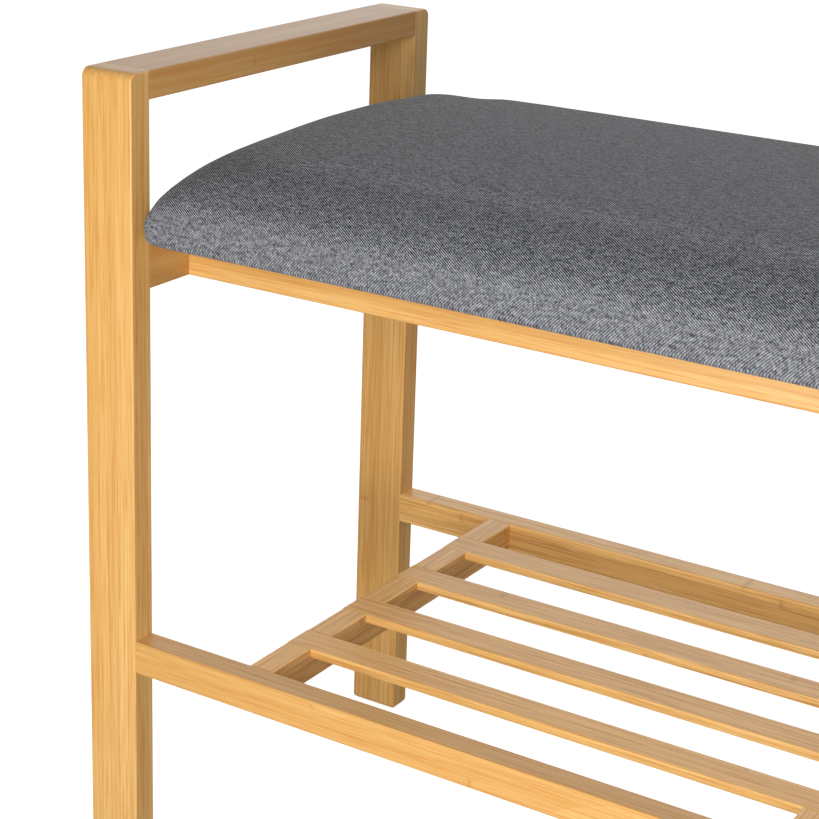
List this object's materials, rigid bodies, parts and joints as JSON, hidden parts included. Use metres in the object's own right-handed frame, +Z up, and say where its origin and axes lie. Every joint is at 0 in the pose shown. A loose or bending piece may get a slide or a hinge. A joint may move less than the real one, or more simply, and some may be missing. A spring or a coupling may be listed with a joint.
{
  "type": "entryway bench",
  "caption": "Low wooden bench with a crowned fabric cushion, armrests that form loops with the legs, and a slatted shoe shelf between the legs.",
  "frame": {"origin": "on the floor under the middle of the bench", "axes": "+X along the bench to the sitter's left hand, -Y the front, +Z up"},
  "size_m": [0.86, 0.297, 0.492],
  "materials": {
    "wood_leg": "clear satin lacquer on laminated bamboo, grain along Z",
    "wood_rail_x": "clear satin lacquer on laminated bamboo, grain along X",
    "wood_rail_y": "clear satin lacquer on laminated bamboo, grain along Y",
    "wood_slat": "clear satin lacquer on bamboo strip, grain along X",
    "cover_fabric": "mottled twill weave, matte",
    "foam": "open-cell foam, matte",
    "board_plywood": "raw plywood",
    "lining": "thin non-woven sheet",
    "dowel_beech": "raw hardwood dowel",
    "fastener_steel": "zinc plated"
  },
  "bodies": {
    "root": {"armrest_dowels": "dowel_beech", "armrest_left": "wood_rail_y", "armrest_right": "wood_rail_y", "brace_dowels": "dowel_beech", "cover_staples": "fastener_steel", "crosspiece_dowels": "dowel_beech", "end_rail_dowels": "dowel_beech", "leg_back_left": "wood_leg", "leg_back_right": "wood_leg", "leg_front_left": "wood_leg", "leg_front_right": "wood_leg", "seat_back_rail": "wood_rail_x", "seat_barrel_nuts": "fastener_steel", "seat_board": "board_plywood", "seat_bolts": "fastener_steel", "seat_centre_brace": "wood_rail_y", "seat_cover": "cover_fabric", "seat_end_rail_left": "wood_rail_y", "seat_end_rail_right": "wood_rail_y", "seat_foam": "foam", "seat_front_rail": "wood_rail_x", "seat_lining": "lining", "seat_screws": "fastener_steel", "shelf_back_rail": "wood_rail_x", "shelf_barrel_nuts": "fastener_steel", "shelf_bolts": "fastener_steel", "shelf_crosspiece_left": "wood_rail_y", "shelf_crosspiece_middle": "wood_rail_y", "shelf_crosspiece_right": "wood_rail_y", "shelf_front_rail": "wood_rail_x", "shelf_slat_1": "wood_slat", "shelf_slat_2": "wood_slat", "shelf_slat_3": "wood_slat", "shelf_slat_4": "wood_slat"}
  },
  "joints": []
}
